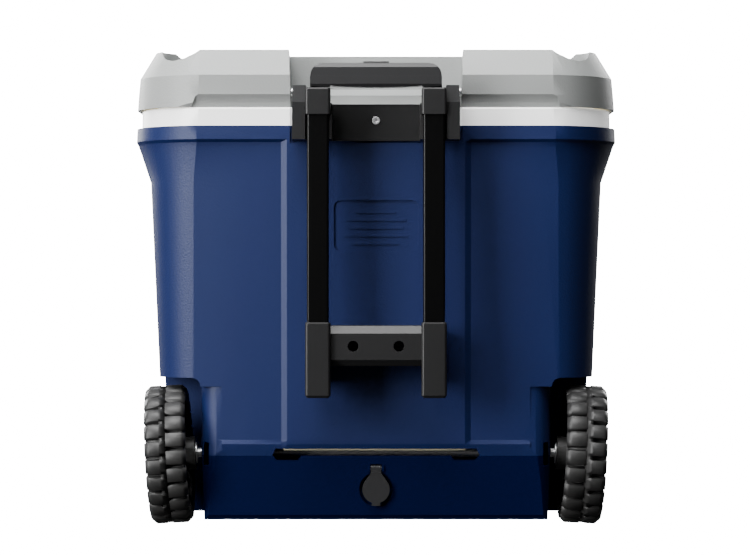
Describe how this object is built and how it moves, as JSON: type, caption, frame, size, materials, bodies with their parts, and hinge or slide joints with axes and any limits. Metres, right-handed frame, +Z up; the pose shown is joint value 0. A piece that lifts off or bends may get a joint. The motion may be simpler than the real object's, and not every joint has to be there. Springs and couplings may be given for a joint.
{
  "type": "cooler on wheels",
  "caption": "Insulated hard cooler with hinged lid, telescoping pull handle on the back, lean-out wheels on a steel axle, and a flip drain cap.",
  "frame": {"origin": "centre of the outline on the ground", "axes": "+X to the right seen from the handle side, +Y from the handle side to the front, +Z up"},
  "size_m": [0.502, 0.565, 0.489],
  "materials": {
    "navy_shell": "fine pebbled texture",
    "grey_shell": "fine pebbled texture",
    "white_liner": "satin",
    "foam": "closed cell foam",
    "black_plastic": "satin",
    "dark_plastic": "fine grained",
    "rail_black": "satin black",
    "wheel_plastic": "grained",
    "seal_rubber": "matt",
    "steel": "zinc plated"
  },
  "bodies": {
    "cooler_body": {"outer_shell": "navy_shell", "base_tray": "navy_shell", "insulation": "foam", "liner": "white_liner", "hinge_bracket": "dark_plastic", "hinge_pin_left": "steel", "hinge_pin_right": "steel", "bracket_screw": "steel", "rail_left": "rail_black", "rail_right": "rail_black", "rail_cap_left": "dark_plastic", "rail_cap_right": "dark_plastic", "foot_bracket": "dark_plastic", "foot_bracket_screws": "dark_plastic", "axle": "steel", "axle_bush_left": "black_plastic", "axle_bush_right": "black_plastic", "axle_washers": "steel", "axle_cap_left": "steel", "axle_cap_right": "steel", "drain_spout": "black_plastic", "drain_gasket": "seal_rubber", "drain_nut": "black_plastic", "drain_pin": "steel", "front_feet": "black_plastic", "base_screws": "steel"},
    "lid": {"lid_shell": "grey_shell", "lid_liner": "white_liner", "lid_insulation": "foam", "lid_seal": "seal_rubber"},
    "handle_mid": {"mid_tube_left": "rail_black", "mid_tube_right": "rail_black", "mid_slider_left": "black_plastic", "mid_slider_right": "black_plastic", "mid_ferrule_left": "black_plastic", "mid_ferrule_right": "black_plastic"},
    "handle_top": {"inner_tube_left": "rail_black", "inner_tube_right": "rail_black", "inner_slider_left": "black_plastic", "inner_slider_right": "black_plastic", "grip": "black_plastic", "grip_base": "black_plastic", "grip_screws": "steel", "button_spring": "steel"},
    "release": {"release_button": "dark_plastic"},
    "wheel_left": {"wheel_hub_left": "wheel_plastic", "wheel_tread_left": "wheel_plastic"},
    "wheel_right": {"wheel_hub_right": "wheel_plastic", "wheel_tread_right": "wheel_plastic"},
    "drain_flap": {"drain_cap": "black_plastic"}
  },
  "joints": [
    {"name": "lid_hinge", "type": "hinge", "parent": "cooler_body", "child": "lid", "pos_m": [0, -0.2245, 0.445], "axis": [1, 0, 0], "range_deg": [0, 90]},
    {"name": "handle_mid_slide", "type": "slide", "parent": "cooler_body", "child": "handle_mid", "axis": [0, 0, 1], "range_m": [0, 0.25]},
    {"name": "handle_top_slide", "type": "slide", "parent": "handle_mid", "child": "handle_top", "axis": [0, 0, 1], "range_m": [0, 0.24]},
    {"name": "button_press", "type": "slide", "parent": "handle_top", "child": "release", "axis": [0, 0, -1], "range_m": [0, 0.0032], "stiffness_N_per_m": 600, "springref_m": -0.002, "deforming": ["button_spring"]},
    {"name": "wheel_left_spin", "type": "hinge", "parent": "cooler_body", "child": "wheel_left", "pos_m": [-0.214, -0.1815, 0.07219], "axis": [0.9986, 0, 0.0523], "continuous": true},
    {"name": "wheel_right_spin", "type": "hinge", "parent": "cooler_body", "child": "wheel_right", "pos_m": [0.214, -0.1815, 0.07219], "axis": [0.9986, 0, -0.0523], "continuous": true},
    {"name": "drain_cap_flip", "type": "hinge", "parent": "cooler_body", "child": "drain_flap", "pos_m": [0, -0.2169, 0.06], "axis": [-1, 0, 0], "range_deg": [0, 110]}
  ]
}
